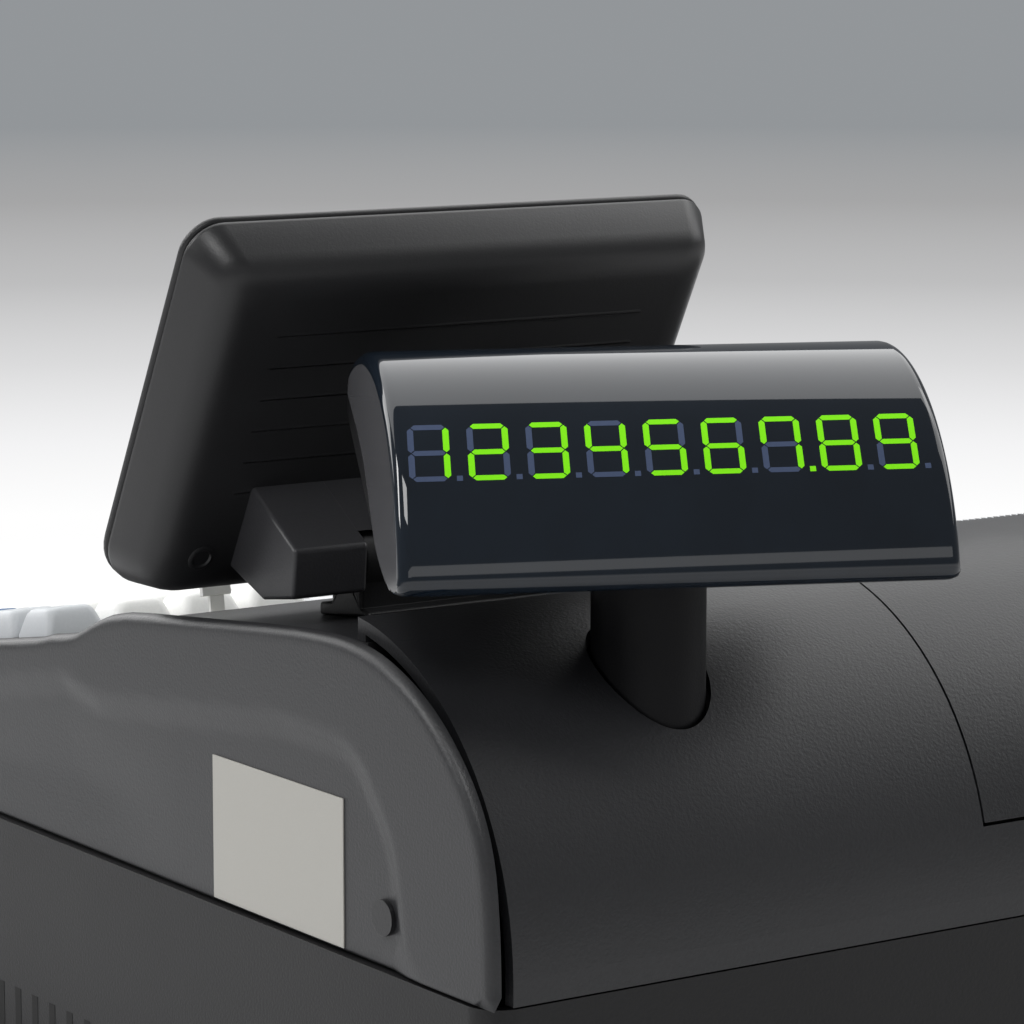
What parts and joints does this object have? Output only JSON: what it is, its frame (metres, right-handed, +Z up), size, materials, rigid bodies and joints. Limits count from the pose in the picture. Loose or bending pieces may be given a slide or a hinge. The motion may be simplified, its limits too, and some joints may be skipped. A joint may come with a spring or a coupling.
{
  "type": "cash register",
  "caption": "Dark grey shop cash register on a cash drawer, with a tilting operator display, a swivelling customer display on a post, a keypad and a receipt printer.",
  "frame": {"origin": "on the counter under the middle of the drawer cabinet", "axes": "+X to the right of the operator, +Y towards the customer (the back), +Z up"},
  "size_m": [0.4, 0.4411, 0.3304],
  "materials": {
    "case_plastic": "grained",
    "dark_plastic": "fine grain",
    "clear_cover": "smoked, glossy",
    "key_caps": "satin",
    "membrane": "satin",
    "cabinet_paint": "fine texture",
    "zinc_sheet": "zinc plated",
    "bright_metal": "polished",
    "rubber": "matt",
    "board": "lacquered",
    "label": "satin",
    "paper": "matt",
    "nylon": "smooth"
  },
  "bodies": {
    "register": {"rubber_feet": "rubber", "drawer_cabinet": "cabinet_paint", "drawer_solenoid": "zinc_sheet", "lower_case": "case_plastic", "upper_case": "case_plastic", "side_panel_right": "case_plastic", "side_panel_left": "case_plastic", "rear_cover": "case_plastic", "case_screws": "zinc_sheet", "rating_plate": "label", "key_membrane": "membrane", "keyboard_board": "board", "mode_lock_body": "bright_metal", "display_neck": "dark_plastic", "tilt_pin": "zinc_sheet", "post_bush": "dark_plastic", "printer_chassis": "zinc_sheet", "print_head": "dark_plastic", "feed_motor": "zinc_sheet", "main_board": "board", "transformer": "zinc_sheet", "power_inlet": "dark_plastic"},
    "drawer": {"drawer_box": "zinc_sheet", "drawer_runners": "nylon", "drawer_front": "cabinet_paint", "money_tray": "dark_plastic"},
    "latch": {"drawer_latch": "zinc_sheet"},
    "lock_cam": {"drawer_lock": "bright_metal"},
    "lock_barrel": {"mode_lock_barrel": "bright_metal"},
    "operator_key": {"mode_key": "bright_metal"},
    "operator_display": {"operator_shell": "case_plastic", "operator_bezel": "dark_plastic", "operator_window": "clear_cover", "operator_lcd": "board"},
    "collar": {"post_collar": "nylon"},
    "customer_display": {"display_post": "dark_plastic", "customer_shell": "dark_plastic", "customer_window": "clear_cover", "customer_digits": "board"},
    "cover": {"printer_cover": "case_plastic"},
    "roll": {"paper_roll": "paper"},
    "platen": {"platen_roller": "rubber"},
    "clip_1": {"note_clip_1": "zinc_sheet"},
    "clip_2": {"note_clip_2": "zinc_sheet"},
    "clip_3": {"note_clip_3": "zinc_sheet"},
    "clip_4": {"note_clip_4": "zinc_sheet"},
    "button_7": {"key_7": "key_caps"},
    "button_8": {"key_8": "key_caps"},
    "button_9": {"key_9": "key_caps"},
    "button_multiply": {"key_multiply": "key_caps"},
    "button_4": {"key_4": "key_caps"},
    "button_5": {"key_5": "key_caps"},
    "button_6": {"key_6": "key_caps"},
    "button_clear": {"key_clear": "key_caps"},
    "button_1": {"key_1": "key_caps"},
    "button_2": {"key_2": "key_caps"},
    "button_3": {"key_3": "key_caps"},
    "button_0": {"key_0": "key_caps"},
    "button_00": {"key_00": "key_caps"},
    "button_cash": {"key_cash": "key_caps"}
  },
  "joints": [
    {"name": "drawer_slide", "type": "slide", "parent": "register", "child": "drawer", "axis": [0, -1, 0], "range_m": [0, 0.3]},
    {"name": "latch_turn", "type": "hinge", "parent": "register", "child": "latch", "pos_m": [0, 0.1867, 0.046], "axis": [1, 0, 0], "range_deg": [0, 6], "stiffness_Nm_per_rad": 0.05, "springref_deg": -8.59},
    {"name": "drawer_lock_turn", "type": "hinge", "parent": "drawer", "child": "lock_cam", "pos_m": [0, -0.2162, 0.066], "axis": [0, 1, 0], "range_deg": [0, 90]},
    {"name": "clip_1_lift", "type": "hinge", "parent": "drawer", "child": "clip_1", "pos_m": [-0.13729, 0.1525, 0.0782], "axis": [-1, 0, 0], "range_deg": [0, 50], "stiffness_Nm_per_rad": 0.05, "springref_deg": -45.84},
    {"name": "clip_2_lift", "type": "hinge", "parent": "drawer", "child": "clip_2", "pos_m": [-0.04576, 0.1525, 0.0782], "axis": [-1, 0, 0], "range_deg": [0, 50], "stiffness_Nm_per_rad": 0.05, "springref_deg": -45.84},
    {"name": "clip_3_lift", "type": "hinge", "parent": "drawer", "child": "clip_3", "pos_m": [0.04576, 0.1525, 0.0782], "axis": [-1, 0, 0], "range_deg": [0, 50], "stiffness_Nm_per_rad": 0.05, "springref_deg": -45.84},
    {"name": "clip_4_lift", "type": "hinge", "parent": "drawer", "child": "clip_4", "pos_m": [0.13729, 0.1525, 0.0782], "axis": [-1, 0, 0], "range_deg": [0, 50], "stiffness_Nm_per_rad": 0.05, "springref_deg": -45.84},
    {"name": "mode_lock_turn", "type": "hinge", "parent": "register", "child": "lock_barrel", "pos_m": [0.138, 0.01364, 0.22312], "axis": [0, -0.1676, 0.9859], "range_deg": [-60, 120]},
    {"name": "mode_key_pull", "type": "slide", "parent": "lock_barrel", "child": "operator_key", "axis": [0, -0.1676, 0.9859], "range_m": [0, 0.01]},
    {"name": "operator_tilt", "type": "hinge", "parent": "register", "child": "operator_display", "pos_m": [0.118, 0.081, 0.249], "axis": [1, 0, 0], "range_deg": [-10, 10]},
    {"name": "post_height", "type": "slide", "parent": "register", "child": "collar", "axis": [0, 0, 1], "range_m": [-0.006, 0]},
    {"name": "post_swivel", "type": "hinge", "parent": "collar", "child": "customer_display", "pos_m": [0.118, 0.165, 0.232], "axis": [0, 0, 1], "range_deg": [-110, 155]},
    {"name": "printer_cover_lift", "type": "hinge", "parent": "register", "child": "cover", "pos_m": [-0.06, 0.1828, 0.2], "axis": [-1, 0, 0], "range_deg": [0, 75]},
    {"name": "roll_spin", "type": "hinge", "parent": "register", "child": "roll", "pos_m": [-0.065, 0.126, 0.1898], "axis": [1, 0, 0], "continuous": true},
    {"name": "platen_spin", "type": "hinge", "parent": "register", "child": "platen", "pos_m": [-0.065, 0.084, 0.2268], "axis": [1, 0, 0], "continuous": true},
    {"name": "press_7", "type": "slide", "parent": "register", "child": "button_7", "axis": [0, 0.1676, -0.9859], "range_m": [0, 0.003], "stiffness_N_per_m": 120, "springref_m": -0.004},
    {"name": "press_8", "type": "slide", "parent": "register", "child": "button_8", "axis": [0, 0.1676, -0.9859], "range_m": [0, 0.003], "stiffness_N_per_m": 120, "springref_m": -0.004},
    {"name": "press_9", "type": "slide", "parent": "register", "child": "button_9", "axis": [0, 0.1676, -0.9859], "range_m": [0, 0.003], "stiffness_N_per_m": 120, "springref_m": -0.004},
    {"name": "press_multiply", "type": "slide", "parent": "register", "child": "button_multiply", "axis": [0, 0.1676, -0.9859], "range_m": [0, 0.003], "stiffness_N_per_m": 120, "springref_m": -0.004},
    {"name": "press_4", "type": "slide", "parent": "register", "child": "button_4", "axis": [0, 0.1676, -0.9859], "range_m": [0, 0.003], "stiffness_N_per_m": 120, "springref_m": -0.004},
    {"name": "press_5", "type": "slide", "parent": "register", "child": "button_5", "axis": [0, 0.1676, -0.9859], "range_m": [0, 0.003], "stiffness_N_per_m": 120, "springref_m": -0.004},
    {"name": "press_6", "type": "slide", "parent": "register", "child": "button_6", "axis": [0, 0.1676, -0.9859], "range_m": [0, 0.003], "stiffness_N_per_m": 120, "springref_m": -0.004},
    {"name": "press_clear", "type": "slide", "parent": "register", "child": "button_clear", "axis": [0, 0.1676, -0.9859], "range_m": [0, 0.003], "stiffness_N_per_m": 120, "springref_m": -0.004},
    {"name": "press_1", "type": "slide", "parent": "register", "child": "button_1", "axis": [0, 0.1676, -0.9859], "range_m": [0, 0.003], "stiffness_N_per_m": 120, "springref_m": -0.004},
    {"name": "press_2", "type": "slide", "parent": "register", "child": "button_2", "axis": [0, 0.1676, -0.9859], "range_m": [0, 0.003], "stiffness_N_per_m": 120, "springref_m": -0.004},
    {"name": "press_3", "type": "slide", "parent": "register", "child": "button_3", "axis": [0, 0.1676, -0.9859], "range_m": [0, 0.003], "stiffness_N_per_m": 120, "springref_m": -0.004},
    {"name": "press_0", "type": "slide", "parent": "register", "child": "button_0", "axis": [0, 0.1676, -0.9859], "range_m": [0, 0.003], "stiffness_N_per_m": 120, "springref_m": -0.004},
    {"name": "press_00", "type": "slide", "parent": "register", "child": "button_00", "axis": [0, 0.1676, -0.9859], "range_m": [0, 0.003], "stiffness_N_per_m": 120, "springref_m": -0.004},
    {"name": "press_cash", "type": "slide", "parent": "register", "child": "button_cash", "axis": [0, 0.1676, -0.9859], "range_m": [0, 0.003], "stiffness_N_per_m": 120, "springref_m": -0.004}
  ]
}
